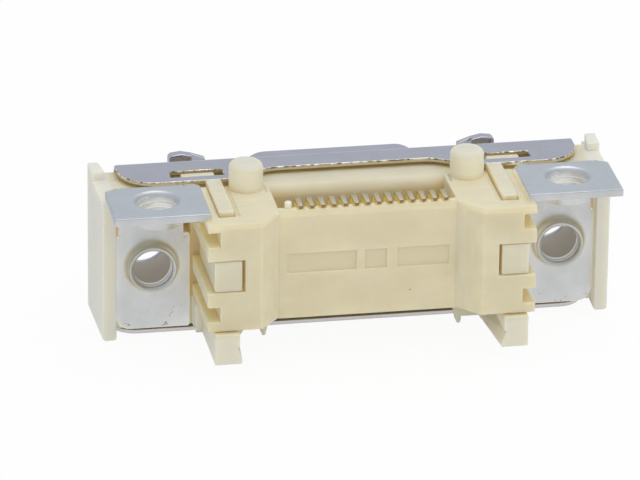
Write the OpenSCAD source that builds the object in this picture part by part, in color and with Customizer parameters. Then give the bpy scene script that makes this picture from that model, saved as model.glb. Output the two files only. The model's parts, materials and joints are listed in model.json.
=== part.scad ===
// Right-angle surface-mount mini delta ribbon receptacle, in millimetres.
// +Z points out of the board seat, +Y points out of the mating nose.
// The origin is midway between the two board screws, on the board seat.

/* [Screws] */
// Distance between the two jackscrew bores, and between the two board screw holes
screw_spacing = 23.4; // [22.8:0.02:24]
// Radius inside the crests of the threaded holes
thread_r = 1.13; // [1.05:0.01:1.2]
// Depth of the mating axis below the board seat
axis_drop = 4.85; // [4.7:0.05:5]

/* [Screw brackets] */
// Thickness of the bracket sheet
bracket_t = 0.45; // [0.4:0.01:0.5]
// Width of the tab that the board sits on
tab_w = 5.4; // [5.2:0.05:5.6]
// Depth of the tab behind the board screw
tab_back = 2.43; // [2.3:0.01:2.6]
// Distance from the board screw to the front face of the upright plate
plate_front = 2.38; // [2.3:0.01:2.5]
// Width of the upright plate
plate_w = 4.2; // [4.1:0.05:4.3]
// Distance from the board seat to the plate's lower edge
plate_h = 8.7; // [8.4:0.05:8.75]
// Height of the drawn collar around each jackscrew hole
collar_h = 0.6; // [0.5:0.05:0.7]
// Height of the drawn collar below each board screw hole
tab_collar_h = 0.85; // [0.7:0.05:0.95]

/* [Front shell] */
// Thickness of the shell sheet
shell_t = 0.25; // [0.2:0.01:0.3]
// Height of the shell over both strips
shell_h = 9.4; // [9.2:0.05:9.6]
// Gap from the board seat down to the upper strip
seat_gap = 0.25; // [0.2:0.01:0.3]
// Depth of the upper strip behind the shell's front face
strip_d = 3.45; // [3.3:0.05:3.6]
// Height of the D-shaped nose
nose_h = 5.6; // [5.4:0.05:5.8]
// Length of the nose in front of the shell's face
nose_len = 4.38; // [4:0.02:4.8]

/* [Front housing] */
// Depth of the flange between the brackets and the shell
flange_d = 3.82; // [3.7:0.02:4]
// Thickness of the two end plates
end_plate_t = 0.8; // [0.7:0.02:0.95]
// Depth of the end plates from front to back
end_plate_d = 5; // [4.8:0.05:5.2]

/* [Rear body] */
// Gap from the board seat down to the platforms beside the tails
platform_drop = 0.42; // [0.36:0.01:0.46]
// Height of the two pillars
body_h = 6.43; // [6.3:0.01:6.6]
// Depth of the pillars behind the flange
pillar_d = 5.6; // [5.4:0.05:5.8]
// Distance that the rear wall sits in from the backs of the pillars
wall_step = 1.45; // [1.3:0.05:1.6]
// Thickness of the rear wall
wall_t = 0.6; // [0.55:0.05:0.7]
// Radius of the two locating pegs where the board slides over them
peg_r = 0.97; // [0.9:0.01:1]
// Height of the pegs above the platforms
peg_h = 1.58; // [1.5:0.02:1.7]
// Distance between the pegs
peg_spacing = 12.66; // [12.5:0.01:12.75]

/* [Contacts] */
// Distance between neighbouring contacts in one row
pitch = 1.27; // [1.25:0.005:1.29]
// Width of a contact
contact_w = 0.32; // [0.28:0.01:0.35]
// Thickness of the contact strip
contact_t = 0.2; // [0.15:0.01:0.22]
// Distance from the mating axis to each contact row
row_rise = 0.95; // [0.9:0.01:1.05]

/* [Hidden] */
$fn = 48;

// Finishes
IVORY = "#e2dfd0";
CREAM = "#e0d8b8";
NICKEL = "#a7aab0";
TIN = "#c6c8c9";
GOLD = "#d9b45a";

// Small working distances
eps = 0.01;
clearance = 0.08;
channel_gap = 0.04;

// Main planes
screw_x = screw_spacing / 2;
axis_z = -axis_drop;
plate_back = plate_front - bracket_t;
flange_back = plate_front;
flange_front = flange_back + flange_d;
shell_front = flange_front + shell_t;
shell_top = -seat_gap;
shell_bottom = shell_top - shell_h;
nose_tip = shell_front + nose_len;
flange_top = shell_top - shell_t - 0.2;
flange_bottom = shell_bottom + shell_t + 0.6;
end_bottom = shell_bottom + shell_t + 0.27;

// Widths, all measured from the centre line
row_half = 3 * pitch;
tail_half = row_half + pitch / 2;
well_half = tail_half + 0.6;
plate_x = [screw_x - plate_w / 2 - 0.075, screw_x + plate_w / 2 - 0.075];
body_half = plate_x[0] - 0.2;
end_inner = plate_x[1] + clearance / 2;
end_outer = end_inner + end_plate_t;
shell_half = end_inner - clearance / 2;
strip_half = end_inner - 0.56;
slot_half = row_half + 0.79;

// Rear body levels
platform_z = -platform_drop;
body_bottom = platform_z - body_h;
body_mid = platform_z - body_h / 2;
pillar_back = flange_back - pillar_d;
wall_back = pillar_back + wall_step;
wall_front = wall_back + wall_t;
pillar_half_in = well_half + 1.23;
groove_mid = body_mid + 0.08;
peg_y = flange_back - 0.31;

// White arms that hold the rear body
arm_in = body_half - 1.96;
arm_out = body_half - 0.4;
leg_bottom = -plate_h - 0.1;
bar_x = [arm_in + 0.24, arm_out - 0.44];
web_x = [arm_in + 0.16, arm_out - 0.6];
lug_w = 0.26;
lug_d = 1.2;
bar_floor = platform_z - 0.4;
window_half = 0.915;

// Contact tails
tail_z = platform_z + 0.09;
tail_y = wall_front + 1;
tail_tip = wall_back + 0.25;
notch_w = contact_w + 2 * channel_gap;
ribbon_recess = 0.95;

module both_sides() {
    children();
    mirror([1, 0, 0]) children();
}

// Extrudes an X-Z outline towards +Y
module upright(y, depth) {
    translate([0, y + depth, 0]) rotate([90, 0, 0]) linear_extrude(depth) children();
}

// Extrudes a Y-Z outline towards +X
module lengthwise(x, length) {
    translate([x, 0, 0]) rotate([90, 0, 90]) linear_extrude(length) children();
}

module block(x, y, z) {
    translate([x[0], y[0], z[0]]) cube([x[1] - x[0], y[1] - y[0], z[1] - z[0]]);
}

module rounded_rect(low, high, r) {
    translate(low + [r, r]) offset(r) square(high - low - 2 * [r, r]);
}

// Quarter of a sheet bend, turning from +X to +Y about the origin
module quarter_bend(outer, t) {
    intersection() {
        difference() {
            circle(outer);
            circle(outer - t);
        }
        square(outer + t);
    }
}

function along(from, to, t) = from + (to - from) * t;
function polar(r, a) = r * [cos(a), sin(a)];
function arc(c, r, from, to, n = 8) = [for (i = [0:n]) c + polar(r, along(from, to, i / n))];
function span(centre, half) = [centre - half, centre + half];
function ease(t) = t * t * (3 - 2 * t);
function reflect(points) = [for (i = [len(points) - 1:-1:0]) [-points[i][0], points[i][1]]];

// Screw brackets

bend_r = bracket_t + 0.15;
relief_z = -3.1;
bend_x = [plate_x[0] + 0.36, plate_x[1] - 0.16];
ear_gap = 0.05;
flow_r = 0.3;

// Threaded hole in a sheet whose face is at z = 0, drawn out into a collar below it
module drawn_collar(h) {
    fillet = 0.2;
    rim = thread_r + 0.25;
    rotate_extrude() {
        translate([0, -bracket_t - h]) square([rim, h + bracket_t / 2]);
        difference() {
            translate([0, -bracket_t - fillet]) square([rim + fillet, fillet + bracket_t / 2]);
            translate([rim + fillet, -bracket_t - fillet]) circle(fillet);
        }
    }
}

module drawn_hole(h) {
    mouth = 0.11;
    translate([0, 0, -bracket_t - h - 1]) cylinder(r = thread_r, h = bracket_t + h + 2);
    translate([0, 0, -bracket_t - h - eps])
        cylinder(r1 = thread_r + mouth + eps, r2 = thread_r, h = mouth + eps);
    rotate_extrude() difference() {
        translate([0, -flow_r]) square([thread_r + flow_r, flow_r + eps]);
        translate([thread_r + flow_r, -flow_r]) circle(flow_r);
    }
}

// Tab with two short ears beside the bend; the outer ear has a cut corner
module tab_outline() {
    bend_start = plate_front - bend_r;
    edge = bend_start + 0.25;
    in = screw_x - tab_w / 2;
    out = screw_x + tab_w / 2;
    polygon([
        [in, -tab_back], [out, -tab_back], [out, edge - 0.42],
        [bend_x[1] + ear_gap, edge], [bend_x[1] + ear_gap, bend_start],
        [bend_x[0] - ear_gap, bend_start], [bend_x[0] - ear_gap, edge], [in + 0.3, edge], [in, edge - 0.3]
    ]);
}

// Upright plate with a large radius on its outer lower corner
module plate_outline() {
    inner_r = 0.15;
    outer_r = 0.8;
    polygon(concat(
        arc([plate_x[0] + inner_r, -plate_h + inner_r], inner_r, 180, 270),
        arc([plate_x[1] - outer_r, -plate_h + outer_r], outer_r, 270, 360),
        [[plate_x[1], relief_z], [plate_x[0], relief_z]]
    ));
    translate([bend_x[0], relief_z - 1]) square([bend_x[1] - bend_x[0], 1 - relief_z - bend_r]);
}

module bracket() {
    color(TIN) difference() {
        union() {
            translate([0, 0, -bracket_t]) linear_extrude(bracket_t) tab_outline();
            upright(plate_back, bracket_t) plate_outline();
            lengthwise(bend_x[0], bend_x[1] - bend_x[0])
                translate([plate_front - bend_r, -bend_r]) quarter_bend(bend_r, bracket_t);
            translate([screw_x, 0, 0]) drawn_collar(tab_collar_h);
            translate([screw_x, plate_front, axis_z]) rotate([-90, 0, 0]) drawn_collar(collar_h);
        }
        translate([screw_x, 0, 0]) drawn_hole(tab_collar_h);
        translate([screw_x, plate_front, axis_z]) rotate([-90, 0, 0]) drawn_hole(collar_h);
    }
}

module right_bracket() {
    bracket();
}

module left_bracket() {
    mirror([1, 0, 0]) bracket();
}

// Front shell

fold_r = 0.75;
nose_r = 1.5;
screw_clear_r = 1.6;
tongue_x = [screw_x - 4.32, screw_x - 2.18];
tongue_z = axis_z + nose_h / 2 - 0.25;
catch_h = 0.83;

// Clearance hole for a jackscrew
module jackscrew_hole(y, depth) {
    translate([screw_x, y, axis_z]) rotate([-90, 0, 0]) cylinder(r = screw_clear_r, h = depth);
}

// D outline of the nose, drawn in by the given amount; its narrow side faces the board
module nose_outline(inset = 0) {
    top = row_half + 1.24;
    bottom = top + nose_h * tan(10);
    offset(delta = -inset) offset(nose_r) offset(delta = -nose_r) translate([0, axis_z])
        polygon([[-top, nose_h / 2], [top, nose_h / 2], [bottom, -nose_h / 2], [-bottom, -nose_h / 2]]);
}

// Right half of the upper strip: set back between the pegs, wide with a round end beside them
module strip_outline() {
    back = shell_front - strip_d;
    set_back = 1.28;
    curve_in = 4.2;
    curve_out = 7.4;
    end_r = 2.1;
    steps = 12;
    half = concat(
        [for (i = [0:steps])
            [along(curve_in, curve_out, i / steps), back + set_back * (1 - ease(i / steps))]],
        arc([strip_half - end_r, back + end_r], end_r, -90, 0),
        [[strip_half, shell_front - fold_r]]
    );
    polygon(concat(half, reflect(half)));
}

module lower_strip_outline() {
    back = shell_front - strip_d + 0.33;
    corner_r = 1.5;
    half = concat(
        arc([shell_half - corner_r, back + corner_r], corner_r, -90, 0),
        [[shell_half, shell_front - fold_r]]
    );
    polygon(concat(half, reflect(half)));
}

// Retention slots in the upper strip
slot_x = [screw_x - 4.38, screw_x - 1.37];
slot_y = [shell_front - 2.85, shell_front - 1.97];

// Tongue beside the nose with a raised catch: its outer half is open to the rear, its inner half slopes up
module latch_tongue() {
    tip = nose_tip - 0.45;
    back = tip - 0.7;
    front = tip - 0.1;
    opening = [tongue_x[1] - 1.2, tongue_x[1] - 0.2];
    rib = 0.12;
    block(tongue_x, [flange_front, tip], [tongue_z - shell_t, tongue_z]);
    difference() {
        upright(back, front - back) bump_outline();
        block(opening, [back - eps, front - shell_t], [tongue_z, tongue_z + catch_h - shell_t + 0.02]);
        lengthwise(tongue_x[0] - eps, opening[0] - rib - tongue_x[0]) polygon([
            [back - eps, tongue_z], [front - 0.15, tongue_z + catch_h], [back - eps, tongue_z + catch_h]
        ]);
    }
}

// Catch seen from behind: a long slope towards the nose and a steep outer side
module bump_outline() {
    top = tongue_z + catch_h;
    polygon([
        [tongue_x[0], tongue_z - shell_t], [tongue_x[0], top - 0.41],
        [tongue_x[0] + 0.8, top - 0.13], [tongue_x[0] + 1.4, top],
        [tongue_x[1] - 0.15, top - 0.07], [tongue_x[1], top - 0.21], [tongue_x[1], tongue_z - shell_t]
    ]);
}

module front_shell() {
    window_h = nose_len - 0.3;
    fold_z = shell_top - fold_r;
    color(NICKEL) difference() {
        union() {
            block(span(0, shell_half), [flange_front, shell_front], [shell_bottom + fold_r, fold_z - 0.5]);
            block(span(0, strip_half), [flange_front, shell_front], [fold_z - 1, fold_z]);
            lengthwise(-strip_half, 2 * strip_half)
                translate([shell_front - fold_r, fold_z]) quarter_bend(fold_r, shell_t);
            lengthwise(-shell_half, 2 * shell_half)
                translate([shell_front - fold_r, shell_bottom + fold_r])
                    mirror([0, 1]) quarter_bend(fold_r, shell_t);
            translate([0, 0, shell_top - shell_t]) linear_extrude(shell_t) strip_outline();
            translate([0, 0, shell_bottom]) linear_extrude(shell_t) lower_strip_outline();
            upright(flange_front, shell_t + nose_len) nose_outline();
            both_sides() latch_tongue();
        }
        upright(flange_front - 1, nose_len + 3) nose_outline(shell_t);
        both_sides() {
            jackscrew_hole(flange_front - 1, 2);
            block(slot_x, slot_y, [shell_top - 1, shell_top + 1]);
            block(
                tongue_x, [flange_front - 1, shell_front + eps],
                [tongue_z - shell_t - window_h, tongue_z - shell_t]
            );
        }
    }
}

// Front housing

// Side view: a large radius on the rear top edge, a small one inside the shell's fold
module flange() {
    rear_r = 0.7;
    front_r = fold_r - shell_t - 0.15;
    half = end_inner + end_plate_t / 2;
    lengthwise(-half, 2 * half) polygon(concat(
        [[flange_back, flange_bottom], [flange_front, flange_bottom]],
        arc([flange_front - front_r, flange_top - front_r], front_r, 0, 90),
        arc([flange_back + rear_r, flange_top - rear_r], rear_r, 90, 180, 16)
    ));
}

// End plate seen from behind, with two round lower corners; x counts from its inner face
module end_outline() {
    r = 0.2;
    polygon(concat(
        arc([r, end_bottom + r], r, 180, 270), arc([end_plate_t - r, end_bottom + r], r, 270, 360),
        [[end_plate_t, flange_top], [0, flange_top]]
    ));
}

// End plate that splays out towards its front edge, and the ear that stands on it there
module end_plate() {
    splay = 1.6;
    ear_d = 1.5;
    ear_top = shell_top + 0.03;
    translate([end_inner, flange_front + 0.23 - end_plate_d, 0]) rotate(-splay) {
        upright(0, end_plate_d) end_outline();
        translate([0, 0, flange_top - 1]) linear_extrude(ear_top - flange_top + 1) polygon([
            [0.05, end_plate_d - ear_d], [end_plate_t, end_plate_d - ear_d],
            [end_plate_t, end_plate_d], [0.18, end_plate_d]
        ]);
    }
}

// Pocket in the top of the flange below a retention slot, with the catch standing in it
module catch_pocket() {
    difference() {
        block(slot_x, slot_y, [flange_top - 0.5, flange_top + 1]);
        block(
            [slot_x[0] + 0.5, slot_x[1] - 0.6], [slot_y[0] + clearance, slot_y[1] - 0.25],
            [flange_top - 2, flange_top + 2]
        );
    }
}

// Pocket in the flange behind the bracket's inner bend relief
module relief_pocket() {
    block(
        [plate_x[0] - 0.1, plate_x[0] + 0.45], [flange_back - 1, flange_back + 1.2],
        [relief_z - 0.1, flange_top - 0.3]
    );
}

// Inner arm of the housing: a bar on the platform, a block in the pillar's window and a barbed leg
module arm() {
    leg_back = pillar_back - 0.25;
    leg_front = flange_back - 1.45;
    leg_top = body_bottom - clearance;
    bar_top = platform_z + 0.22;
    translate([0, 0, bar_floor - eps]) linear_extrude(bar_top - bar_floor + eps)
        rounded_rect([bar_x[0], wall_back], [bar_x[1], flange_back], 0.2);
    block(bar_x, [flange_back - 1, flange_back + 0.57], [bar_floor - eps, bar_top]);
    block(web_x, [wall_back, flange_back + eps], [leg_bottom + 1, bar_floor]);
    block([arm_in, arm_out], [pillar_back + 0.06, flange_back + eps], span(groove_mid, window_half));
    block([arm_in + 0.16, arm_out], [leg_back, leg_front], [leg_bottom + 0.99, leg_top]);
    hull() {
        upright(leg_back, eps) barb_outline(0);
        upright(leg_front - eps, eps) barb_outline(0.4);
    }
}

// Root of a leg below the pillar, and a lug that closes the front corner of the well
module arm_roots() {
    block(
        [arm_in + 0.16, body_half + 0.02], [flange_back - 1.46, flange_back + eps],
        [-plate_h, body_bottom - clearance]
    );
    block(
        [well_half, well_half + lug_w], [flange_back - lug_d, flange_back + eps],
        [platform_z - 1.6, platform_z - 0.03]
    );
}

// Barb at the foot of a leg, seen from behind, with its inner side moved in by the given amount
module barb_outline(spread) {
    in = arm_in - spread;
    polygon([
        [arm_out, leg_bottom + 1], [arm_out, leg_bottom], [in + 0.03, leg_bottom],
        [in + 0.03, leg_bottom + 0.2], [arm_in + 0.32, leg_bottom + 0.92], [arm_in + 0.32, leg_bottom + 1]
    ]);
}

// Narrow foot beside each leg, below the well
module foot() {
    x = well_half + 0.3;
    y = wall_front + 1.1;
    top = body_bottom - clearance;
    upright(y, 0.8) polygon([
        [x - 0.2, top], [arm_in + 0.2, top], [arm_in + 0.2, leg_bottom + 0.25],
        [arm_in - 0.45, leg_bottom + 0.25],
        [arm_in - 0.6, leg_bottom + 0.5], [x + 0.42, leg_bottom + 0.5], [x + 0.36, leg_bottom + 0.1],
        [x + 0.16, leg_bottom + 0.1]
    ]);
}

module contact_channels() {
    for (k = [-3:3], side = [-1, 1])
        translate([k * pitch, 0, axis_z + side * row_rise])
            block(
                span(0, contact_w / 2 + channel_gap), [flange_back - 1, nose_tip - ribbon_recess + 0.15],
                span(0, contact_t / 2 + channel_gap)
            );
}

module front_housing() {
    slot_floor = 2.2;
    insert_recess = 0.35;
    slot_back = flange_back + slot_floor;
    color(IVORY) difference() {
        union() {
            flange();
            upright(flange_front - eps, nose_len + shell_t - insert_recess)
                nose_outline(shell_t + clearance / 2);
            both_sides() {
                end_plate();
                arm();
                arm_roots();
                foot();
                block(slot_x, slot_y, [flange_top - eps, shell_top - 0.06]);
            }
        }
        block(span(0, slot_half), [slot_back, nose_tip + 1], span(axis_z, row_rise));
        contact_channels();
        both_sides() {
            relief_pocket();
            catch_pocket();
            jackscrew_hole(0, nose_tip);
        }
    }
}

// Rear body

module pillar_outline(edge = 0) {
    polygon([
        [well_half, flange_back], [body_half, flange_back], [body_half, pillar_back + edge],
        [pillar_half_in + edge * tan(22.5), pillar_back + edge], [well_half, wall_back + edge]
    ]);
}

// Prism with a bevel along its rear top edges; the first child is the foot, the second the top
module bevelled(bottom, bevel) {
    translate([0, 0, bottom]) linear_extrude(platform_z - bevel - bottom) children(0);
    hull() {
        translate([0, 0, platform_z - bevel - eps]) linear_extrude(eps) children(0);
        translate([0, 0, platform_z - eps]) linear_extrude(eps) children(1);
    }
}

module pillar() {
    bevelled(body_bottom, 0.22) {
        pillar_outline();
        pillar_outline(0.22);
    }
}

module rear_wall() {
    bevelled(body_bottom - 0.08, 0.35) {
        translate([-well_half - eps, wall_back]) square([2 * (well_half + eps), wall_t]);
        translate([-well_half - eps, wall_back + 0.25]) square([2 * (well_half + eps), wall_t - 0.25]);
    }
}

// Round post on the X-Y plane with a rounded top edge
module rounded_post(r, h, round_r) {
    cylinder(r = r, h = h - round_r);
    cylinder(r = r - round_r, h = h);
    translate([0, 0, h - round_r]) rotate_extrude() translate([r - round_r, 0]) intersection() {
        circle(round_r);
        square(round_r);
    }
}

// Straight where it enters the board, drafted from just below the board down to its root
module peg() {
    foot = flange_top + 0.02;
    shoulder = -0.1;
    draft = 0.03;
    translate([peg_spacing / 2, peg_y, foot]) cylinder(r1 = peg_r + draft, r2 = peg_r, h = shoulder - foot);
    translate([peg_spacing / 2, peg_y, shoulder])
        rounded_post(peg_r, platform_z + peg_h - shoulder, 0.38);
}

// Everything the arms, the tab and the moulded grooves take out of one pillar
module pillar_cuts() {
    groove_step = 2.27;
    groove_half = 0.43;
    front = flange_back + 1;
    block(
        [bar_x[0] - 0.3, bar_x[1] + channel_gap], [wall_back - 0.25, front],
        [platform_z - 0.06, platform_z + 1]
    );
    block(
        [bar_x[0] - channel_gap, bar_x[1] + channel_gap], [wall_back - channel_gap, front],
        [bar_floor - channel_gap, platform_z + 1]
    );
    block(
        [web_x[0] - clearance, web_x[1] + clearance], [wall_back - clearance, front],
        [body_bottom - 1, bar_floor]
    );
    block(
        [arm_in - channel_gap, body_half + 1], [pillar_back - 1, front],
        span(groove_mid, window_half + channel_gap)
    );
    block(
        [arm_in - 0.16, arm_out], [pillar_back - 1, pillar_back + 1],
        span(groove_mid, window_half + channel_gap)
    );
    block(
        [well_half - 1, well_half + lug_w], [flange_back - lug_d, front],
        [platform_z - 1.6, platform_z + 1]
    );
    for (side = [-1, 1])
        block(
            [body_half - 0.72, body_half + 1], [pillar_back - 1, front],
            span(groove_mid + side * groove_step, groove_half)
        );
    block(
        [screw_x - tab_w / 2 - clearance, body_half + 1], [-tab_back - clearance, flange_back + 1],
        [-bracket_t - 0.02, 1]
    );
}

// The three blank panels moulded into the back of the wall
module wall_panels() {
    depth = 0.1;
    panels = [[-4.62, -0.65], [-0.16, 1.06], [1.67, 4.62]];
    for (panel = panels)
        block(panel, [wall_back - 1, wall_back + depth], span(groove_mid - 0.05, 0.58));
}

module rear_body() {
    post_x = -tail_half - 0.05;
    color(CREAM) both_sides() peg();
    color(CREAM) difference() {
        union() {
            both_sides() pillar();
            rear_wall();
            translate([post_x, wall_front - 0.05, platform_z - 0.3]) rounded_post(0.2, 0.68, 0.08);
        }
        both_sides() pillar_cuts();
        wall_panels();
        for (i = [0:13])
            translate([tail_x(i), 0, 0])
                block(
                    span(0, notch_w / 2), [wall_back - 1, wall_front + 1],
                    [tail_z - contact_t / 2 - channel_gap, 1]
                );
    }
}

// Contacts

function contact_row(i) = i % 2;
function contact_x(i) = (floor(i / 2) - 3) * pitch;
function tail_x(i) = contact_x(i) + contact_row(i) * pitch / 2;

// Rear half of a contact, from its row up to the level of the board
module tail_outline(row_z, start) {
    r = 0.3;
    t = contact_t;
    post = tail_y;
    translate([post + r - t / 2, row_z - t / 2]) square([start - post - r + t / 2, t]);
    translate([post + r - t / 2, row_z - t / 2 + r]) rotate(180) quarter_bend(r, t);
    translate([post - t / 2, row_z - t / 2 + r]) square([t, tail_z - row_z + t - 2 * r]);
    translate([post + t / 2 - r, tail_z + t / 2 - r]) quarter_bend(r, t);
}

// Flat end of a contact on the board side, a little narrower at its tip
module tail_flat() {
    w = contact_w / 2;
    start = tail_y + contact_t / 2 - 0.3;
    translate([0, 0, tail_z - contact_t / 2]) linear_extrude(contact_t)
        polygon([[-w, start], [w, start], [0.75 * w, tail_tip], [-0.75 * w, tail_tip]]);
}

// Front half: a straight ribbon with a raised touch point near its tip
module ribbon(x, row_z, start) {
    w = contact_w;
    tip = nose_tip - ribbon_recess;
    touch_back = 1;
    touch_r = contact_t * 0.9;
    touch_z = row_z + sign(axis_z - row_z) * (touch_r - contact_t / 2);
    block(span(x, w / 2), [start, tip], span(row_z, contact_t / 2));
    translate([x - w / 2, tip - touch_back, touch_z]) rotate([0, 90, 0]) cylinder(r = touch_r, h = w);
}

module contact(i) {
    upper = contact_row(i) == 0;
    row_z = upper ? axis_z + row_rise : axis_z - row_rise;
    jog = [flange_back - 1.9, flange_back - 1.2];
    w = contact_w;
    color(GOLD) {
        ribbon(contact_x(i), row_z, jog[1]);
        lengthwise(tail_x(i) - w / 2, w) tail_outline(row_z, jog[0]);
        translate([tail_x(i), 0, 0]) tail_flat();
        translate([0, 0, row_z - contact_t / 2]) linear_extrude(contact_t) polygon([
            [tail_x(i) - w / 2, jog[0]], [tail_x(i) + w / 2, jog[0]],
            [contact_x(i) + w / 2, jog[1]], [contact_x(i) - w / 2, jog[1]]
        ]);
    }
}

front_housing();
rear_body();
front_shell();
left_bracket();
right_bracket();
contact(0);  // contact_01
contact(1);  // contact_02
contact(2);  // contact_03
contact(3);  // contact_04
contact(4);  // contact_05
contact(5);  // contact_06
contact(6);  // contact_07
contact(7);  // contact_08
contact(8);  // contact_09
contact(9);  // contact_10
contact(10);  // contact_11
contact(11);  // contact_12
contact(12);  // contact_13
contact(13);  // contact_14
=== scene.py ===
# %% [markdown]
# # A mini delta ribbon connector, dressed in Blender
#
# The solid model is already built and packed: two plastic mouldings, a folded
# metal shell, two screw brackets and fourteen contacts. This lesson loads those
# solids as a fixed frame and gives them their looks: a camera, rounded edges, the
# finishes of the plastics and plated metals, the screw threads that the solids
# leave out, and soft light.

# %% Load the frame
import json
import math

import bmesh
import bpy
from mathutils import Matrix, Vector


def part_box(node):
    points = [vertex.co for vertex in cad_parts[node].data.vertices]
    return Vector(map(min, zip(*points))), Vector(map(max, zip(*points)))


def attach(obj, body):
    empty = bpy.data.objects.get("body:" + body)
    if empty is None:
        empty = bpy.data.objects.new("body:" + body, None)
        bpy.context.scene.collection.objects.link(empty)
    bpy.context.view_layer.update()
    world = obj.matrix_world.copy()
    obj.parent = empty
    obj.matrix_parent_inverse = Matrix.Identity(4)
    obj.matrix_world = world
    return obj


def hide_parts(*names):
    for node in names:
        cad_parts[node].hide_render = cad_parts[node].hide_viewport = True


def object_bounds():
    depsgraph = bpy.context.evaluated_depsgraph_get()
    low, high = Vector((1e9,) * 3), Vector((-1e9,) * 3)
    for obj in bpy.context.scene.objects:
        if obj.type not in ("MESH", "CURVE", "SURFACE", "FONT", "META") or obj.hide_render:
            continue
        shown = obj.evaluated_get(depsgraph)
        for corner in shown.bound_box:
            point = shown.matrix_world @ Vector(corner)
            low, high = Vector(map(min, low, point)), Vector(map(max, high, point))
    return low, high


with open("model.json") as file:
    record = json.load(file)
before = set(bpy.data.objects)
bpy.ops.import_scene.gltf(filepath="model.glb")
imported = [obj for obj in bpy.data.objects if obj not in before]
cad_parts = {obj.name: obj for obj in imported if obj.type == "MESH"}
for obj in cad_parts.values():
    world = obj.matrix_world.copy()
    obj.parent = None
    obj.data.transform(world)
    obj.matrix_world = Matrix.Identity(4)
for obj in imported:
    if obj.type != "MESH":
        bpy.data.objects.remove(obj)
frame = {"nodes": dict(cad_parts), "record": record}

MM = 0.001
nodes = frame["nodes"]
cad_box = [list(corner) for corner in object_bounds()]
print("solids:", len(nodes), "box in mm:", [[round(v / MM, 2) for v in c] for c in cad_box])

# %% [markdown]
# ## The camera
#
# The photograph was taken from far away with a long lens, a little from the
# left and from above. Three angles and a distance describe that view, together
# with the point that the camera looks at. A camera could be turned with Euler
# angles, but building its rotation from its own right, up and back axes keeps the
# roll easy to read.

# %% Camera
CAMERA_AZIMUTH = math.radians(-10.436)
CAMERA_ELEVATION = math.radians(23.637)
CAMERA_ROLL = math.radians(0.7)
CAMERA_DISTANCE = 353.3 * MM
CAMERA_TARGET = Vector((-1.434, 5.43, -5.4625)) * MM
CAMERA_LENS = 347.8                # mm, as Blender counts lenses
CAMERA_SENSOR = 36                 # mm, likewise
CAMERA_CLIP = (0.01, 10)           # m, the nearest and the farthest that it sees


def camera_matrix(azimuth, elevation, roll, distance, target):
    """World matrix of a camera that looks at target."""
    back = Vector((
        math.sin(azimuth) * math.cos(elevation),
        -math.cos(azimuth) * math.cos(elevation),
        math.sin(elevation),
    ))
    level = Vector((0, 0, 1)).cross(back).normalized()
    upright = back.cross(level)
    right = math.cos(roll) * level + math.sin(roll) * upright
    up = back.cross(right)
    turn = Matrix((right, up, back)).transposed().to_4x4()
    return Matrix.Translation(target + back * distance) @ turn


camera = bpy.data.objects.new("camera", bpy.data.cameras.new("camera"))
camera.data.lens = CAMERA_LENS
camera.data.sensor_width = CAMERA_SENSOR
camera.data.clip_start, camera.data.clip_end = CAMERA_CLIP
camera.matrix_world = camera_matrix(
    CAMERA_AZIMUTH, CAMERA_ELEVATION, CAMERA_ROLL, CAMERA_DISTANCE, CAMERA_TARGET)
bpy.context.collection.objects.link(camera)
bpy.context.scene.camera = camera
bpy.context.scene.view_settings.view_transform = "Standard"
print("camera at mm:", [round(v / MM, 1) for v in camera.location])

# %% [markdown]
# ## Four small helpers for shader trees
#
# Colours are written as sRGB hex values, the way a colour picker shows them, and
# Blender's shaders want linear light, so one function converts them. A second
# one adds a node: its settings, its constant inputs and its links in one call. A
# third starts a material and hands back what every finish here begins with: its
# surface shader and Object coordinates counted in millimetres. The last one works
# like a painter's layer. It lays a colour over whatever is already there, where a
# value passes from one limit to another, and within a mask if one is given.


# %% Helpers
def srgb(hex_colour):
    """Linear RGBA from a hex value such as #c6c8c9."""
    values = [int(hex_colour[i:i + 2], 16) / 255 for i in (1, 3, 5)]
    linear = [v / 12.92 if v <= 0.04045 else ((v + 0.055) / 1.055) ** 2.4 for v in values]
    return (*linear, 1)


def add(tree, kind, inputs=None, **settings):
    """Adds a node; an input given as a socket is linked, any other is set."""
    node = tree.nodes.new(kind)
    for name, value in settings.items():
        setattr(node, name, value)
    for name, value in (inputs or {}).items():
        if isinstance(value, bpy.types.NodeSocket):
            tree.links.new(value, node.inputs[name])
        else:
            node.inputs[name].default_value = value
    return node


def start_material(name):
    """A new material, its surface shader and millimetre coordinates."""
    material = bpy.data.materials.new(name)
    material.use_nodes = True
    tree = material.node_tree
    place = add(tree, "ShaderNodeTexCoord")
    mm = add(tree, "ShaderNodeMapping", {
        "Vector": place.outputs["Object"], "Scale": [1 / MM] * 3})
    return material, tree.nodes["Principled BSDF"], mm.outputs["Vector"]


def paint_over(surface, hex_colour, value, limits=(0, 1), within=1.0):
    """Lays a colour over the surface's own: none at the first limit, all at the second."""
    tree = surface.id_data
    target = surface.inputs["Base Color"]
    under = target.links[0].from_socket if target.is_linked else target.default_value
    mask = add(tree, "ShaderNodeMapRange", {
        "Value": value, "From Min": limits[0], "From Max": limits[1], "To Max": within})
    layer = add(tree, "ShaderNodeMix", {
        "Factor": mask.outputs["Result"], 6: under, 7: srgb(hex_colour)}, data_type="RGBA")
    tree.links.new(layer.outputs[2], target)


print("white becomes", srgb("#ffffff"), "mid grey becomes", round(srgb("#808080")[0], 3))
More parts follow.
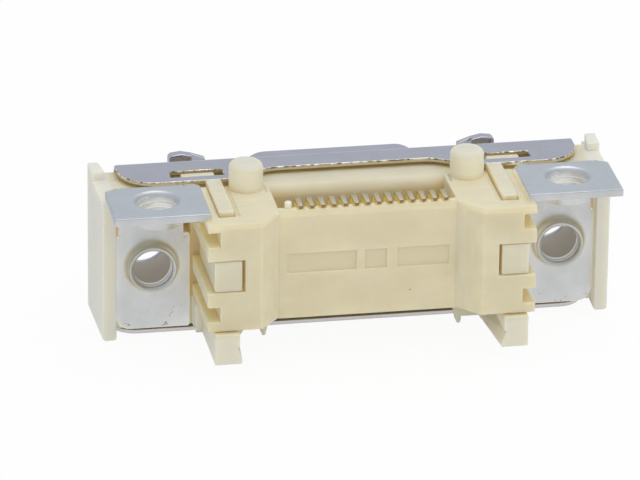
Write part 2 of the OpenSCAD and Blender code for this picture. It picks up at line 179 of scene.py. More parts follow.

# %% [markdown]
# ## The two plastics
#
# Both mouldings are glass-filled liquid-crystal polymer, which flows into walls
# thinner than a millimetre. The front housing is ivory, the rear body a warmer
# cream, and neither is one flat tone. The melt leaves clouds and faint flow marks.
# A deep recess turns yellow where light has bounced many times, and that bounce
# light is painted into the recesses' colour. Thin walls let a faint glow into
# narrow gaps, painted there as a glow, and a few dark specks are in every batch. The
# recesses could be painted by hand. Ambient occlusion finds them all instead: it
# tells how much of the sky a place sees.

# %% Colours of a plastic
CLOUD_SIZE = 2.6                   # mm across one pale or dark cloud
FLOW_WIDTH = 0.5                   # mm across one flow mark
FLOW_STRETCH = (0.12, 1, 0.35)     # flow marks are longest along the axis of the smallest number
TONE_NOISE = (0.7, 1.3)            # summed noise between which deep gives way to pale
RECESS_REACH = 4.0                 # mm, how far from a wall the painted recess light reaches
SKY_SAMPLES = 8
RECESS_SKY = (0.7, 0.2)            # share of the sky seen where recesses begin and are deepest
GAP_SKY = (0.17, 0.03)             # the same for the narrow gaps between the parts
PAINTED_GAP_GLOW = 0.06                    # strength of the glow painted into such gaps, for light through thin walls
SPECK_SPACING = 1.7                # mm between the places where a speck may be
SPECK_RADIUS = 0.04                # as a share of that spacing
SPECK_CHANCE = 0.12                # share of those places that hold one


def cloud_tones(surface, mm, pale, deep):
    """Clouds and flow marks between two tones; returns the clouds."""
    tree = surface.id_data
    surface.inputs["Base Color"].default_value = srgb(deep)
    cloud = add(tree, "ShaderNodeTexNoise", {
        "Vector": mm, "Scale": 1 / CLOUD_SIZE, "Detail": 3, "Roughness": 0.6}).outputs["Fac"]
    along = add(tree, "ShaderNodeMapping", {"Vector": mm, "Scale": FLOW_STRETCH})
    flow = add(tree, "ShaderNodeTexNoise", {
        "Vector": along.outputs["Vector"], "Scale": 1 / FLOW_WIDTH, "Detail": 2})
    both = add(tree, "ShaderNodeMath", {0: cloud, 1: flow.outputs["Fac"]}, operation="ADD")
    paint_over(surface, pale, both.outputs["Value"], TONE_NOISE)
    return cloud


def paint_recess_bounce_light(surface, recess_light):
    """Painted bounce light: yellower recesses, and a painted glow in the narrowest gaps."""
    tree = surface.id_data
    sky = add(tree, "ShaderNodeAmbientOcclusion", {
        "Distance": RECESS_REACH * MM}, samples=SKY_SAMPLES).outputs["AO"]
    # painted light: the recess colour stands in for bounced light, the glow for light through thin walls
    paint_over(surface, recess_light, sky, RECESS_SKY)
    glow = add(tree, "ShaderNodeMapRange", {
        "Value": sky, "From Min": GAP_SKY[0], "From Max": GAP_SKY[1], "To Max": PAINTED_GAP_GLOW})
    surface.inputs["Emission Color"].default_value = srgb(recess_light)
    tree.links.new(glow.outputs["Result"], surface.inputs["Emission Strength"])


def scatter_specks(surface, mm, speck):
    """A few dark specks, at most one in each cell of a Voronoi pattern."""
    tree = surface.id_data
    cells = add(tree, "ShaderNodeTexVoronoi", {"Vector": mm, "Scale": 1 / SPECK_SPACING})
    chance = add(tree, "ShaderNodeSeparateColor", {"Color": cells.outputs["Color"]})
    rare = add(tree, "ShaderNodeMath", {
        0: chance.outputs["Red"], 1: SPECK_CHANCE}, operation="LESS_THAN")
    near = add(tree, "ShaderNodeMath", {
        0: cells.outputs["Distance"], 1: SPECK_RADIUS}, operation="LESS_THAN")
    spot = add(tree, "ShaderNodeMath", {
        0: rare.outputs["Value"], 1: near.outputs["Value"]}, operation="MULTIPLY")
    paint_over(surface, speck, spot.outputs["Value"])


print("specks are", round(2 * SPECK_RADIUS * SPECK_SPACING, 2), "mm across")

# %% [markdown]
# ## Satin and a little translucent
#
# Colour alone would look like paint. The polymer leaves the mould satin, with a
# fine grain from the eroded steel and a gloss that changes with the clouds. Light
# also wanders below its surface, so thin pegs look pale. Bump, roughness and
# subsurface scattering give these three, and one function makes both plastics.

# %% Both plastics
GRAIN_SIZE = 0.09                  # mm, coarser than the real grain so that it shows
GRAIN_DEPTH = 0.02                 # mm
GRAIN_STRENGTH = 0.12
SATIN = (0.40, 0.56)               # roughness at the two ends of the clouds
POLYMER_IOR = 1.5
POLYMER_SPECULAR = 0.4             # the glass filling takes a little of the gloss away
TRANSLUCENCE = 0.8                 # share of the light that goes below the surface
LIGHT_WANDER = 0.8                 # mm that it travels there
WANDER_RGB = (1.0, 0.8, 0.45)      # red light travels farthest


def satin_surface(surface, mm, cloud):
    """Fine grain, satin gloss and light below the surface."""
    tree = surface.id_data
    grain = add(tree, "ShaderNodeTexNoise", {"Vector": mm, "Scale": 1 / GRAIN_SIZE, "Detail": 2})
    bump = add(tree, "ShaderNodeBump", {
        "Strength": GRAIN_STRENGTH, "Distance": GRAIN_DEPTH * MM, "Height": grain.outputs["Fac"]})
    tree.links.new(bump.outputs["Normal"], surface.inputs["Normal"])
    gloss = add(tree, "ShaderNodeMapRange", {"Value": cloud, "To Min": SATIN[0], "To Max": SATIN[1]})
    tree.links.new(gloss.outputs["Result"], surface.inputs["Roughness"])
    surface.inputs["IOR"].default_value = POLYMER_IOR
    surface.inputs["Specular IOR Level"].default_value = POLYMER_SPECULAR
    surface.inputs["Subsurface Weight"].default_value = TRANSLUCENCE
    surface.inputs["Subsurface Radius"].default_value = WANDER_RGB
    surface.inputs["Subsurface Scale"].default_value = LIGHT_WANDER * MM


def moulded_polymer(name, pale, deep, recess_light, speck):
    """Satin moulded plastic: cloudy tones, painted bounce light in recesses, a few specks."""
    material, surface, mm = start_material(name)
    cloud = cloud_tones(surface, mm, pale, deep)
    paint_recess_bounce_light(surface, recess_light)
    scatter_specks(surface, mm, speck)
    satin_surface(surface, mm, cloud)
    return material, surface, mm


ivory, ivory_surface, ivory_mm = moulded_polymer(
    "ivory_moulded_polymer", pale="#e8e2cc", deep="#ded8c0", recess_light="#e6d3a2", speck="#8d8470")
cream, cream_surface, cream_mm = moulded_polymer(
    "cream_moulded_polymer", pale="#eae2c5", deep="#e0d7b8", recess_light="#f1e1b2", speck="#8a7b58")
print("plastics:", ivory.name, cream.name)

# %% [markdown]
# ## Painted light and marks on the plastics
#
# Some tones belong to a place, and most of them are painted light. The end plates
# and the legs of the front housing are thin, light comes through them, and they
# are painted paler. Its two screw holes are painted greyer, painted shade and a
# painted reflection of the metal beside them. The two pegs of the rear body are
# painted pale too, and their tops are painted with less yellow, a painted
# highlight from the light above. The floors of the three blank panels are painted
# a little darker, a painted shade of their shallow recess, and one dark speck
# sits in the wall, right of the middle. A painted image could hold all this, but
# masks made from the Object coordinates stay sharp and need no unwrapping.

# %% Painted light and marks on the plastics
END_PLATE_X = (13.6, 13.8)         # mm, distances between which the end plates are painted paler, painted light
LEG_Z = (-6.9, -7.3)               # mm, heights between which the legs are painted paler, painted light
JACKSCREW = (11.7, 0, -4.85)       # mm, a point on the right jackscrew's axis
HOLE_RADIUS = (1.9, 1.65)          # mm, distances from it between which the hole is painted grey, painted shade and reflection
PEG_ASIDE = (4.2, 4.4)             # mm, the pegs lie farther than this from the middle
PEG_FOOT = (-0.45, -0.1)           # mm, heights between which the pegs are painted paler, painted light
PEG_CROWN = (0.7, 1.1)             # mm, heights between which they are painted less yellow, a painted highlight from above
PANEL_FLOOR = (0, -1.67, -3.6)     # mm, middle of the panels' floors
PANEL_REACH = (4.7, 0.03, 0.7)     # mm to each side of it
SPECK_AT = (2.42, -1.77, -5.64)    # mm, the dark speck in the wall
SPECK_SIZE = 0.05                  # mm


def mirrored_place(tree, mm):
    """Distance from the middle, height, and distance from the nearer jackscrew's axis."""
    axes = add(tree, "ShaderNodeSeparateXYZ", {"Vector": mm}).outputs
    aside = add(tree, "ShaderNodeMath", {0: axes["X"]}, operation="ABSOLUTE").outputs["Value"]
    flat = add(tree, "ShaderNodeCombineXYZ", {"X": aside, "Z": axes["Z"]}).outputs["Vector"]
    away = add(tree, "ShaderNodeVectorMath", {0: flat, 1: JACKSCREW}, operation="DISTANCE")
    return aside, axes["Z"], away.outputs["Value"]


def paint_front_housing_light(surface, mm):
    """Painted light: paler end plates and legs, and screw holes greyed by painted shade and reflection.
    """
    aside, height, away = mirrored_place(surface.id_data, mm)
    # painted light on thin legs and end plates, painted shade and reflection in the holes
    paint_over(surface, "#e9e6d6", height, LEG_Z)
    paint_over(surface, "#e7e6dc", aside, END_PLATE_X)
    paint_over(surface, "#d6cfc4", away, HOLE_RADIUS)


def paint_peg_light(surface, mm):
    """Pegs painted pale, with crowns painted less yellow: painted light from above."""
    tree = surface.id_data
    aside, height, _ = mirrored_place(tree, mm)
    peg = add(tree, "ShaderNodeMapRange", {
        "Value": aside, "From Min": PEG_ASIDE[0], "From Max": PEG_ASIDE[1]})
    # painted light: paler pegs, and a painted highlight on their crowns
    paint_over(surface, "#f3efdb", height, PEG_FOOT, peg.outputs["Result"])
    paint_over(surface, "#dfddcf", height, PEG_CROWN)


def paint_panel_shade_and_speck(surface, mm):
    """Panel floors painted darker, a painted shade of their shallow recess, and one dark speck."""
    tree = surface.id_data
    axes = add(tree, "ShaderNodeSeparateXYZ", {"Vector": mm}).outputs
    inside = 1.0
    for axis, middle, reach in zip("XYZ", PANEL_FLOOR, PANEL_REACH):
        near = add(tree, "ShaderNodeMath", {
            0: axes[axis], 1: middle, 2: reach}, operation="COMPARE")
        inside = add(tree, "ShaderNodeMath", {
            0: inside, 1: near.outputs["Value"]}, operation="MULTIPLY").outputs["Value"]
    # painted shade on the panels' floors
    paint_over(surface, "#e2d9ba", inside)
    away = add(tree, "ShaderNodeVectorMath", {0: mm, 1: SPECK_AT}, operation="DISTANCE")
    speck = add(tree, "ShaderNodeMath", {
        0: away.outputs["Value"], 1: SPECK_SIZE}, operation="LESS_THAN")
    paint_over(surface, "#a39572", speck.outputs["Value"])


paint_front_housing_light(ivory_surface, ivory_mm)
paint_peg_light(cream_surface, cream_mm)
paint_panel_shade_and_speck(cream_surface, cream_mm)
print("layers:", {m.name: sum(n.type == "MIX" for n in m.node_tree.nodes) for m in (ivory, cream)})

# %% [markdown]
# ## Plated sheet metal
#
# The shell is bright nickel over rolled brass, the brackets are matt tin over
# steel, and the contacts have a thin flash of gold. Plating leaves faint dull
# patches, and rolled sheet has fine lines along the rolling direction. In a deep
# recess a mirror would only show black, so the light that passes there from wall
# to wall is painted in: the recesses turn matt and take a painted colour, and on
# tin and gold a painted glow is added. One function makes all three, each with its
# own colours and gloss.

# %% Metal finishes
PATCH_SIZE = 1.8                   # mm across one dull patch
PATCH_NOISE = (0.3, 0.7)           # noise between which dull gives way to bright
GLOSS_SPREAD = 0.04                # how much rougher the dull patches are, and smoother the rest
MATT_METALLIC = 0.2                # how metallic the recesses still look under their painted light
ROLLING_LINE = 0.05                # mm across one rolling line, coarser than real ones
ROLLING_STRETCH = (0.03, 1, 1)     # rolling lines run along X
LINE_DEPTH = 0.01                  # mm
LINE_STRENGTH = 0.05


def patchy_tones(surface, mm, bright, dull, roughness):
    """Dull patches, in colour and in gloss."""
    tree = surface.id_data
    surface.inputs["Base Color"].default_value = srgb(dull)
    patch = add(tree, "ShaderNodeTexNoise", {
        "Vector": mm, "Scale": 1 / PATCH_SIZE, "Detail": 4, "Roughness": 0.65}).outputs["Fac"]
    paint_over(surface, bright, patch, PATCH_NOISE)
    gloss = add(tree, "ShaderNodeMapRange", {
        "Value": patch, "From Min": PATCH_NOISE[0], "From Max": PATCH_NOISE[1],
        "To Min": roughness + GLOSS_SPREAD, "To Max": roughness - GLOSS_SPREAD})
    tree.links.new(gloss.outputs["Result"], surface.inputs["Roughness"])


def paint_metal_recess_light(surface, recess_light, reach, glow):
    """Painted bounce light: recesses turn matt and take a painted colour, and a painted glow stands in
    for light from wall to wall.
    """
    tree = surface.id_data
    sky = add(tree, "ShaderNodeAmbientOcclusion", {
        "Distance": reach * MM}, samples=SKY_SAMPLES).outputs["AO"]
    # painted bounce light in recesses: a colour, less metal, and a painted glow
    paint_over(surface, recess_light, sky, RECESS_SKY)
    surface.inputs["Emission Color"].default_value = srgb(recess_light)
    for socket, outside, inside in (("Metallic", 1.0, MATT_METALLIC), ("Emission Strength", 0.0, glow)):
        if inside != outside:
            change = add(tree, "ShaderNodeMapRange", {
                "Value": sky, "From Min": RECESS_SKY[0], "From Max": RECESS_SKY[1],
                "To Min": outside, "To Max": inside})
            tree.links.new(change.outputs["Result"], surface.inputs[socket])


def rolled_surface(surface, mm):
    """Fine lines along the rolling direction."""
    tree = surface.id_data
    rolled = add(tree, "ShaderNodeMapping", {"Vector": mm, "Scale": ROLLING_STRETCH})
    lines = add(tree, "ShaderNodeTexNoise", {
        "Vector": rolled.outputs["Vector"], "Scale": 1 / ROLLING_LINE, "Detail": 1})
    bump = add(tree, "ShaderNodeBump", {
        "Strength": LINE_STRENGTH, "Distance": LINE_DEPTH * MM, "Height": lines.outputs["Fac"]})
    tree.links.new(bump.outputs["Normal"], surface.inputs["Normal"])


def plated_sheet(name, bright, dull, recess_light, reach, roughness, glow):
    """Plated metal with dull patches, painted light in matt recesses, and rolling lines."""
    material, surface, mm = start_material(name)
    patchy_tones(surface, mm, bright, dull, roughness)
    paint_metal_recess_light(surface, recess_light, reach, glow)
    rolled_surface(surface, mm)
    return material, surface, mm


# each metal's recess colour and glow are painted bounce light
nickel, nickel_surface, nickel_mm = plated_sheet(
    "bright_nickel_plate", bright="#cbc6c8", dull="#c4bfc1", recess_light="#d2c898",
    reach=1.0, roughness=0.22, glow=0.0)
tin, tin_surface, tin_mm = plated_sheet(
    "matt_tin_plate", bright="#d2d3d3", dull="#c9cac9", recess_light="#f6f4ee",
    reach=2.5, roughness=0.45, glow=0.25)
gold, gold_surface, gold_mm = plated_sheet(
    "gold_flash_plate", bright="#ddc062", dull="#cfae50", recess_light="#f4e888",
    reach=1.5, roughness=0.28, glow=0.22)
print("metals:", nickel.name, tin.name, gold.name)

# %% [markdown]
# ## Wear, painted shade and glints, bare edges and tinned tails
#
# Handling left scuffs on the tin, small dark flecks that thicken towards the
# plates' lower edges. The drawn collars around the jackscrew holes get a painted
# olive shade, a painted reflection of the plastics that they mirror. The shell was
# stamped from plated strip, so its cut edges show warm bare brass; a face attribute
# called cut_edge, made with the rounded shell below, says where. Along their upper
# corner dark dashes alternate with painted glints, which are painted highlights.
# The contacts are gold where they mate, tinned on the flat tails and bare copper
# alloy on the sheared tips, and the tails are painted darker, a painted shade,
# where they reach into the well.

# %% Wear and painted light on the metals
COLLAR_RIM = (1.15, 1.5)           # mm from the jackscrew's axis, between these the painted shade begins
COLLAR_FOOT = (1.68, 1.5)          # mm from it, at the first of these the painted shade has ended
SCUFF_SIZE = 0.3                   # mm across one scuff
SCUFF_HEIGHTS = (-6.6, -8.6)       # mm, where the scuffs start and where they are thickest
SCUFF_NOISE = (0.7, 0.625)         # noise above which a scuff shows at those heights
SCUFF_FADE = 0.04                  # noise from the rim of a scuff to its darkest place
SCUFF_COVER = 0.75                 # share of the plating's colour that it hides there
LOWER_STRIP = -5                   # mm, cut edges below this are on the lower strip
EDGE_CORNER_ABOVE = -0.34                # mm, the upper corner of the upper strip's edge
DASH_SIZE = 0.3                    # mm along one dark dash or painted glint
DARK_DASH_NOISE = (0.53, 0.58)          # noise between which a dash turns dark
PAINTED_GLINT_NOISE = (0.46, 0.42)         # noise between which the edge is painted bright, a painted highlight
TINNED_ABOVE = (-0.52, -0.44)      # mm, heights between which gold gives way to tin
WELL_SHADE = (-1.2, -0.3)          # mm, between these the tails dip into the painted shade of the well
SHEARED_TIP = -1.505               # mm, the tips' end faces lie behind this


def paint_collar_shade(surface, mm):
    """Painted olive shade on the drawn collars around the jackscrew holes, a painted reflection of the
    plastics.
    """
    tree = surface.id_data
    away = mirrored_place(tree, mm)[2]
    begun = add(tree, "ShaderNodeMapRange", {
        "Value": away, "From Min": COLLAR_RIM[0], "From Max": COLLAR_RIM[1]})
    # painted shade and reflection on the collars
    paint_over(surface, "#bab396", away, COLLAR_FOOT, begun.outputs["Result"])


def scuff_plates(surface, mm):
    """Dark flecks, thicker towards the lower edges of the plates."""
    tree = surface.id_data
    height = add(tree, "ShaderNodeSeparateXYZ", {"Vector": mm}).outputs["Z"]
    least = add(tree, "ShaderNodeMapRange", {
        "Value": height, "From Min": SCUFF_HEIGHTS[0], "From Max": SCUFF_HEIGHTS[1],
        "To Min": SCUFF_NOISE[0], "To Max": SCUFF_NOISE[1]})
    mark = add(tree, "ShaderNodeTexNoise", {
        "Vector": mm, "Scale": 1 / SCUFF_SIZE, "Detail": 4, "Roughness": 0.6})
    over = add(tree, "ShaderNodeMath", {
        0: mark.outputs["Fac"], 1: least.outputs["Result"]}, operation="SUBTRACT")
    paint_over(surface, "#77726a", over.outputs["Value"], (0, SCUFF_FADE), SCUFF_COVER)


def bare_edges(surface, mm):
    """Brass on the faces that the cut_edge attribute marks, with dark dashes and painted glints, painted
    highlights, along the upper corner.
    """
    tree = surface.id_data
    cut = add(tree, "ShaderNodeAttribute", attribute_name="cut_edge").outputs["Fac"]
    height = add(tree, "ShaderNodeSeparateXYZ", {"Vector": mm}).outputs["Z"]
    paint_over(surface, "#d3cab0", cut)
    low = add(tree, "ShaderNodeMath", {0: height, 1: LOWER_STRIP}, operation="LESS_THAN")
    paint_over(surface, "#dcd7d6", low.outputs["Value"], within=cut)
    edge_dashes = add(tree, "ShaderNodeTexNoise", {"Vector": mm, "Scale": 1 / DASH_SIZE, "Detail": 2})
    corner = add(tree, "ShaderNodeMath", {0: height, 1: EDGE_CORNER_ABOVE}, operation="GREATER_THAN")
    cut_corner = add(tree, "ShaderNodeMath", {
        0: corner.outputs["Value"], 1: cut}, operation="MULTIPLY").outputs["Value"]
    # dark dashes, then painted glints: a painted highlight along the upper corner
    for hex_colour, limits in (("#857d66", DARK_DASH_NOISE), ("#f8f4ee", PAINTED_GLINT_NOISE)):
        paint_over(surface, hex_colour, edge_dashes.outputs["Fac"], limits, cut_corner)


def tin_tails(surface, mm):
    """Tin on the tails, painted shade where they dip into the well, and bare copper alloy on their tips.
    """
    tree = surface.id_data
    axes = add(tree, "ShaderNodeSeparateXYZ", {"Vector": mm}).outputs
    tinned = add(tree, "ShaderNodeMapRange", {
        "Value": axes["Z"], "From Min": TINNED_ABOVE[0], "From Max": TINNED_ABOVE[1]}).outputs["Result"]
    paint_over(surface, "#e3d3b0", tinned)
    # painted shade of the well on the tails
    paint_over(surface, "#c9b684", axes["Y"], WELL_SHADE, tinned)
    sheared = add(tree, "ShaderNodeMath", {
        0: axes["Y"], 1: SHEARED_TIP}, operation="LESS_THAN")
    paint_over(surface, "#94785a", sheared.outputs["Value"])


paint_collar_shade(tin_surface, tin_mm)
scuff_plates(tin_surface, tin_mm)
bare_edges(nickel_surface, nickel_mm)
tin_tails(gold_surface, gold_mm)
print("layers:", {m.name: sum(n.type == "MIX" for n in m.node_tree.nodes) for m in (nickel, tin, gold)})

# %% [markdown]
# ## Rounded edges
#
# A solid's edges are perfectly sharp, and no moulded or stamped edge is. Light
# glints on real edges because they are round, so each solid gets a copy with
# rounded edges that stands in for it. A Bevel modifier would fold over itself
# where a step is narrower than the rounding, so each sharp outer edge first gets a
# bevel weight from the free width beside it. The modifier then makes narrow rounds
# in narrow places and full ones elsewhere. Inner corners stay sharp: they are dark,
# and nothing glints there.

# %% Bevel weights
WELD = 0.0005 * MM
FLAT = math.radians(1)             # faces that meet flatter than this become one
SHARP = math.radians(25)           # edges that fold more than this are rounded
STRAIGHT_ON = math.radians(150)    # a neighbour beyond this carries the edge on
LEAST_TURN = math.radians(20)      # one that turns less counts as turning this much
ROOM_PER_WIDTH = 2.4               # free width that a full rounding needs


def room_beside(edge):
    """Free width beside an edge, from the edges that leave its two ends."""
    room = math.inf
    for vert in edge.verts:
        along = edge.other_vert(vert).co - vert.co
        for other in vert.link_edges:
            ray = other.other_vert(vert).co - vert.co
            turn = along.angle(ray, 0)
            if other != edge and turn < STRAIGHT_ON:
                room = min(room, ray.length * math.sin(max(turn, LEAST_TURN)))
    return room


def weighted_copy(solid, width):
    """Merged copy of a solid's mesh with a bevel weight on every sharp outer edge."""
    shape = bmesh.new()
    shape.from_mesh(solid.data)
    bmesh.ops.remove_doubles(shape, verts=shape.verts, dist=WELD)
    bmesh.ops.dissolve_limit(shape, angle_limit=FLAT, verts=shape.verts, edges=shape.edges)
    weight = shape.edges.layers.float.new("bevel_weight_edge")
    for edge in shape.edges:
        if edge.is_convex and edge.calc_face_angle(0) > SHARP:
            edge[weight] = min(1, room_beside(edge) / (ROOM_PER_WIDTH * width))
    mesh = bpy.data.meshes.new(solid.name + "_rounded")
    shape.to_mesh(mesh)
    shape.free()
    mesh.shade_smooth()
    return mesh


print("a full rounding needs", ROOM_PER_WIDTH, "times its width beside it")

# %% [markdown]
# ## Calm shading beside the rounds
#
# A rounded edge is only a few narrow faces, and smooth shading across it would tint
# the large faces beside it too. Weighted normals let the large faces win, so they
# stay flat and only the rounds are shaded smoothly. Folds that are still sharp break
# the shading. Where many faces meet in one corner a normal can still lean too far,
# and it then takes the direction of its own face.

# %% Rounded copies
BEVEL_SEGMENTS = 3
CREASE = math.radians(40)          # folds that stay sharper than this break the shading
LEAST_UPRIGHT = 0.8                # cosine of the most that a normal may lean


def apply_modifiers(piece):
    """Gives the piece the plain mesh that its modifiers make."""
    evaluated = piece.evaluated_get(bpy.context.evaluated_depsgraph_get())
    piece.data = bpy.data.meshes.new_from_object(evaluated)
    piece.modifiers.clear()


def set_upright(mesh):
    """Corner normals that lean too far from their face take the face's own."""
    normals = [corner.vector.copy() for corner in mesh.corner_normals]
    for face in mesh.polygons:
        for corner in face.loop_indices:
            if normals[corner].dot(face.normal) < LEAST_UPRIGHT:
                normals[corner] = face.normal.copy()
    mesh.normals_split_custom_set(normals)


def rounded_piece(solid, width):
    """Object with a plain mesh: the solid with its sharp edges rounded."""
    mesh = weighted_copy(solid, width)
    piece = bpy.data.objects.new(mesh.name, mesh)
    bpy.context.collection.objects.link(piece)
    bevel = piece.modifiers.new("edges", "BEVEL")
    bevel.width = width
    bevel.segments = BEVEL_SEGMENTS
    bevel.limit_method = "WEIGHT"
    bevel.use_clamp_overlap = False
    apply_modifiers(piece)
    piece.data.set_sharp_from_angle(angle=CREASE)
    normals = piece.modifiers.new("normals", "WEIGHTED_NORMAL")
    normals.keep_sharp = True
    apply_modifiers(piece)
    set_upright(piece.data)
    return piece


print("normals may lean by", round(math.degrees(math.acos(LEAST_UPRIGHT))), "degrees")

# %% [markdown]
# ## Dressing the solids
#
# The record says which finish each solid takes. A table gives, for each finish,
# its material and how round its edges are: soft on the mouldings, tight on the
# sheet metal. The loop makes the rounded stand-in, hides the solid that it
# replaces, and gives it the finish. On the shell it also marks the cut edges: the
# steep faces within one sheet thickness of the upper and lower strips.

# %% Rounded, finished pieces
FINISHES = {
    "ivory_plastic": (ivory, 0.09 * MM),
    "cream_plastic": (cream, 0.08 * MM),
    "nickel_sheet": (nickel, 0.05 * MM),
    "tin_sheet": (tin, 0.07 * MM),
    "plated_contact": (gold, 0.03 * MM),
}
SHELL_SHEET = 0.25 * MM
STEEP = 0.9                        # faces whose normal has less height than this are steep


def mark_cut_edges(mesh, low, high):
    """Face attribute that is 1 on steep faces of the two strips."""
    cut = mesh.attributes.new("cut_edge", "FLOAT", "FACE")
    for face, value in zip(mesh.polygons, cut.data):
        in_strip = face.center.z > high - SHELL_SHEET or face.center.z < low + SHELL_SHEET
        value.value = float(in_strip and abs(face.normal.z) < STEEP)


for subpart in frame["record"]["subparts"]:
    name, slot = subpart["node"], subpart["material_slot"]
    finish, edge_width = FINISHES[slot]
    piece = rounded_piece(nodes[name], edge_width)
    piece.data.materials.clear()
    piece.data.materials.append(finish)
    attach(piece, "root")
    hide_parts(name)
    if slot == "nickel_sheet":
        mark_cut_edges(piece.data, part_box(name)[0][2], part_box(name)[1][2])
    print(piece.name, "has", len(piece.data.polygons), "faces")

# %% [markdown]
# ## Screw threads
#
# The four drawn holes are tapped, and the turns of the thread catch the light as
# bright arcs. A thread is a ridge swept along a helix, so Geometry Nodes make it:
# a spiral curve, a small round profile, and one instance for each hole. The ridge
# sits half in the wall of the hole. The tree ends in plain, realised geometry.

# %% Thread tree
TURN_STEPS = 40                    # points along one turn of the helix
RIDGE_STEPS = 8                    # points around the ridge


def thread_inputs(tree):
    """Named inputs for the tree's sizes; returns the identifier of each."""
    kinds = {
        "Holes": "NodeSocketGeometry", "Turns": "NodeSocketFloat", "Pitch": "NodeSocketFloat",
        "Radius": "NodeSocketFloat", "Ridge": "NodeSocketFloat",
        "Turn to axis": "NodeSocketVector", "Finish": "NodeSocketMaterial",
    }
    tree.interface.new_socket("Ridges", in_out="OUTPUT", socket_type="NodeSocketGeometry")
    return {
        name: tree.interface.new_socket(name, in_out="INPUT", socket_type=kind).identifier
        for name, kind in kinds.items()
    }


def fill_thread_tree(tree):
    """A helical ridge on every point of the input mesh."""
    given = tree.nodes.new("NodeGroupInput").outputs
    height = add(tree, "ShaderNodeMath", {0: given["Turns"], 1: given["Pitch"]}, operation="MULTIPLY")
    helix = add(tree, "GeometryNodeCurveSpiral", {
        "Resolution": TURN_STEPS, "Rotations": given["Turns"], "Start Radius": given["Radius"],
        "End Radius": given["Radius"], "Height": height.outputs["Value"]})
    profile = add(tree, "GeometryNodeCurvePrimitiveCircle", {
        "Resolution": RIDGE_STEPS, "Radius": given["Ridge"]})
    ridge = add(tree, "GeometryNodeCurveToMesh", {
        "Curve": helix.outputs["Curve"], "Profile Curve": profile.outputs["Curve"],
        "Fill Caps": True})
    placed = add(tree, "GeometryNodeInstanceOnPoints", {
        "Points": given["Holes"], "Instance": ridge.outputs["Mesh"],
        "Rotation": given["Turn to axis"]})
    real = add(tree, "GeometryNodeRealizeInstances", {"Geometry": placed.outputs["Instances"]})
    smooth = add(tree, "GeometryNodeSetShadeSmooth", {"Geometry": real.outputs["Geometry"]})
    painted = add(tree, "GeometryNodeSetMaterial", {
        "Geometry": smooth.outputs["Geometry"], "Material": given["Finish"]})
    add(tree, "NodeGroupOutput", {"Ridges": painted.outputs["Geometry"]})


thread_tree = bpy.data.node_groups.new("thread_ridges", "GeometryNodeTree")
thread_sockets = thread_inputs(thread_tree)
fill_thread_tree(thread_tree)
print("thread inputs:", list(thread_sockets))

# %% [markdown]
# ## A thread in every hole
#
# Two holes take the board screws and stand upright, two take the jackscrews and lie
# level, so there are two pieces. Each is a mesh of two loose points, one for each
# hole, and the tree grows a thread from every point.

# %% Threads in the holes
THREAD_PITCH = 0.33 * MM
THREAD_RADIUS = 1.15 * MM
RIDGE_RADIUS = 0.08 * MM
SCREW_X = JACKSCREW[0] * MM        # the board screws stand above the jackscrews
JACKSCREW_Z = JACKSCREW[2] * MM
BOARD_THREAD_Z = -1.2 * MM         # where the threads of the board screws start
JACKSCREW_THREAD_Y = 2.1 * MM      # where those of the jackscrews start


def cut_threads(name, starts, turns, turn_to_axis):
    """One piece with a thread in every hole that starts at one of the points."""
    base = bpy.data.meshes.new(name)
    base.from_pydata([tuple(p) for p in starts], [], [])
    piece = bpy.data.objects.new(name, base)
    bpy.context.collection.objects.link(piece)
    modifier = piece.modifiers.new("threads", "NODES")
    modifier.node_group = thread_tree
    sizes = {
        "Turns": turns, "Pitch": THREAD_PITCH, "Radius": THREAD_RADIUS,
        "Ridge": RIDGE_RADIUS, "Turn to axis": turn_to_axis, "Finish": tin,
    }
    for label, value in sizes.items():
        modifier[thread_sockets[label]] = value
    apply_modifiers(piece)
    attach(piece, "root")
    print(name, "has", len(piece.data.polygons), "faces")


cut_threads(
    "board_screw_threads", turns=2.7, turn_to_axis=(0, 0, 0),
    starts=[Vector((side * SCREW_X, 0, BOARD_THREAD_Z)) for side in (-1, 1)])
cut_threads(
    "jackscrew_threads", turns=1.8, turn_to_axis=(math.radians(90), 0, 0),
    starts=[Vector((side * SCREW_X, JACKSCREW_THREAD_Y, JACKSCREW_Z)) for side in (-1, 1)])

# %% [markdown]
# ## Light and world
#
# The photograph is a product shot on pure white, inside a light tent. The world
# gives even white light to everything diffuse. To the camera it is plain white. To
# reflections it is a cool grey around the sides and white overhead, as the inside
# of a tent is: flat tops mirror the grey, and edges glint with the white. Two soft
# lamps share the rest of the work. One lifts the tops a little over the walls, and
# no metal mirrors it. The other is seen by reflections alone and stands farther
# back, so that edges glint and the latches' slopes stay grey.

# %% Light
AMBIENT = 0.74
TENT = ((0.0, "#cdd6e2"), (0.78, "#cdd6e2"), (0.96, "#ffffff"))    # sine of the height, colour


def tent_colour(tree):
    """Colour of the tent in the direction that a ray takes."""
    direction = add(tree, "ShaderNodeTexCoord").outputs["Generated"]
    height = add(tree, "ShaderNodeSeparateXYZ", {"Vector": direction}).outputs["Z"]
    tent = add(tree, "ShaderNodeValToRGB", {"Fac": height})
    stops = tent.color_ramp.elements
    while len(stops) < len(TENT):
        stops.new(1.0)
    for stop, (place, hex_colour) in zip(stops, TENT):
        stop.position = place
        stop.color = srgb(hex_colour)
    return tent.outputs["Color"]


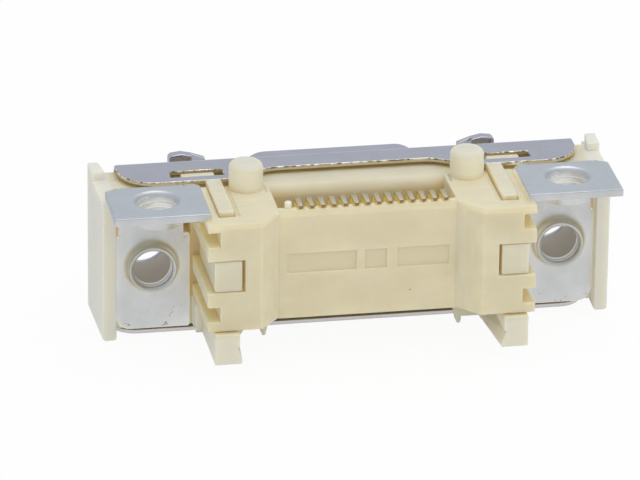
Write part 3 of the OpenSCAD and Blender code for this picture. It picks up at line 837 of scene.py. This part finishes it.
def light_world(ambient):
    """White for the camera, a tent for reflections, even light for the rest."""
    world = bpy.data.worlds.new("light_tent")
    world.use_nodes = True
    tree = world.node_tree
    tree.nodes.clear()
    ray = add(tree, "ShaderNodeLightPath").outputs
    colour = add(tree, "ShaderNodeMix", {
        "Factor": ray["Is Glossy Ray"], 6: srgb("#ffffff"), 7: tent_colour(tree)}, data_type="RGBA")
    seen = add(tree, "ShaderNodeMath", {
        0: ray["Is Camera Ray"], 1: ray["Is Transmission Ray"]}, operation="MAXIMUM")
    shown = add(tree, "ShaderNodeMath", {
        0: seen.outputs["Value"], 1: ray["Is Glossy Ray"]}, operation="MAXIMUM")
    strength = add(tree, "ShaderNodeMapRange", {
        "Value": shown.outputs["Value"], "To Min": ambient, "To Max": 1.0})
    glow = add(tree, "ShaderNodeBackground", {
        "Color": colour.outputs[2], "Strength": strength.outputs["Result"]})
    add(tree, "ShaderNodeOutputWorld", {"Surface": glow.outputs["Background"]})
    bpy.context.scene.world = world


def soft_lamp(name, place, size, watts):
    """Square lamp at place, in mm, that faces the connector."""
    lamp = bpy.data.lights.new(name, "AREA")
    lamp.size = size * MM
    lamp.energy = watts
    body = bpy.data.objects.new(name, lamp)
    body.location = Vector(place) * MM
    body.rotation_euler = (CAMERA_TARGET - body.location).to_track_quat("-Z", "Y").to_euler()
    bpy.context.collection.objects.link(body)
    return body


light_world(AMBIENT)
top_lamp = soft_lamp("top_softbox", place=(40, -45, 170), size=150, watts=0.079)
top_lamp.visible_glossy = False
glint_lamp = soft_lamp("glint_softbox", place=(30, 40, 170), size=110, watts=0.055)
glint_lamp.visible_diffuse = False

# %% [markdown]
# ## Floor
#
# The connector stands on white card. To the camera and to reflections the card
# glows white, and a small share of its own shading comes through, so that the
# shadow under the connector stays. Behind the connector, the card's glow as
# reflections see it is painted as grey as the tent's side, a painted shade which
# keeps the shell's folds calm.

# %% Floor
FLOOR_GAP = 0.02 * MM              # keeps the card clear of the legs
FLOOR_Z = cad_box[0][2] - FLOOR_GAP
FLOOR_HALF = 80 * MM
FLOOR_GLOW = 0.94
FLOOR_SHADE = (0, 15 * MM)         # between these the card's glow seen by reflections is painted as grey as the tent


def white_card():
    """Card whose own shade shows faintly through its glow."""
    material = bpy.data.materials.new("white_card")
    material.use_nodes = True
    tree = material.node_tree
    tree.nodes.clear()
    ray = add(tree, "ShaderNodeLightPath").outputs
    seen = add(tree, "ShaderNodeMath", {
        0: ray["Is Camera Ray"], 1: ray["Is Glossy Ray"]}, operation="MAXIMUM")
    share = add(tree, "ShaderNodeMath", {
        0: seen.outputs["Value"], 1: FLOOR_GLOW}, operation="MULTIPLY")
    matt = add(tree, "ShaderNodeBsdfDiffuse", {"Color": srgb("#fafaf8")})
    place = add(tree, "ShaderNodeTexCoord").outputs["Object"]
    depth = add(tree, "ShaderNodeSeparateXYZ", {"Vector": place}).outputs["Y"]
    # painted shade: behind the connector, reflections see the card's glow turn grey
    mirrored = add(tree, "ShaderNodeMapRange", {
        "Value": depth, "From Min": FLOOR_SHADE[0], "From Max": FLOOR_SHADE[1],
        "To Max": ray["Is Glossy Ray"]})
    tone = add(tree, "ShaderNodeMix", {
        "Factor": mirrored.outputs["Result"], 6: srgb("#ffffff"), 7: srgb(TENT[0][1])}, data_type="RGBA")
    glow = add(tree, "ShaderNodeEmission", {"Color": tone.outputs[2], "Strength": 1.0})
    both = add(tree, "ShaderNodeMixShader", {
        "Fac": share.outputs["Value"], 1: matt.outputs["BSDF"], 2: glow.outputs["Emission"]})
    add(tree, "ShaderNodeOutputMaterial", {"Surface": both.outputs["Shader"]})
    return material


def lay_floor(z, half):
    """A square of white card at height z."""
    mesh = bpy.data.meshes.new("floor")
    mesh.from_pydata(
        [(-half, -half, z), (half, -half, z), (half, half, z), (-half, half, z)], [], [(0, 1, 2, 3)])
    mesh.materials.append(white_card())
    floor = bpy.data.objects.new("floor", mesh)
    bpy.context.collection.objects.link(floor)


lay_floor(FLOOR_Z, FLOOR_HALF)
print("floor at mm:", round(FLOOR_Z / MM, 2))
